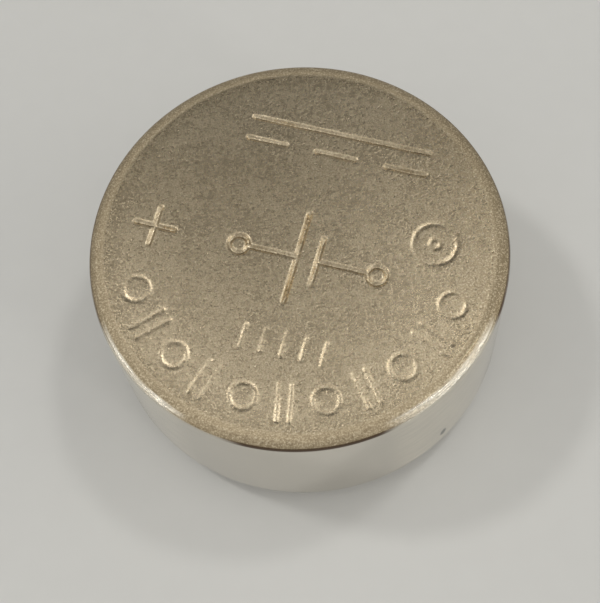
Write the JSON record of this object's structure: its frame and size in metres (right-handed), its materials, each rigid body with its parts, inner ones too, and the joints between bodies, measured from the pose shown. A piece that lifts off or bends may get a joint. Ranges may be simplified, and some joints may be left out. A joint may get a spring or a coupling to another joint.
{
  "type": "alkaline button cell",
  "caption": "Sealed round button cell: a crimped metal can over a stepped cap, with a plastic seal ring between them and its electrodes inside.",
  "frame": {"origin": "centre of the negative cap's flat contact face, on which the cell stands", "axes": "+Z along the cell's axis of revolution, from the negative contact towards the positive face; X and Y are alike in the solids, and the stamped plus sign lies towards -X"},
  "size_m": [0.0116, 0.0116, 0.0054],
  "materials": {
    "can_nickel": "nickel plate, satin with a fine grain on the positive face and bright on the wall",
    "cap_nickel": "bright nickel-clad stainless sheet",
    "seal_nylon": "natural translucent nylon, matt",
    "cathode_mix": "dull black pressed powder",
    "barrier_film": "thin clear yellowish film",
    "separator_pad": "white absorbent fibre sheet",
    "zinc_gel": "grey metallic powder in gel"
  },
  "bodies": {
    "root": {"positive_can": "can_nickel", "cathode_pellet": "cathode_mix", "barrier_film": "barrier_film", "absorbent_separator": "separator_pad", "sealing_gasket": "seal_nylon", "zinc_gel": "zinc_gel", "negative_cap": "cap_nickel"}
  },
  "joints": []
}
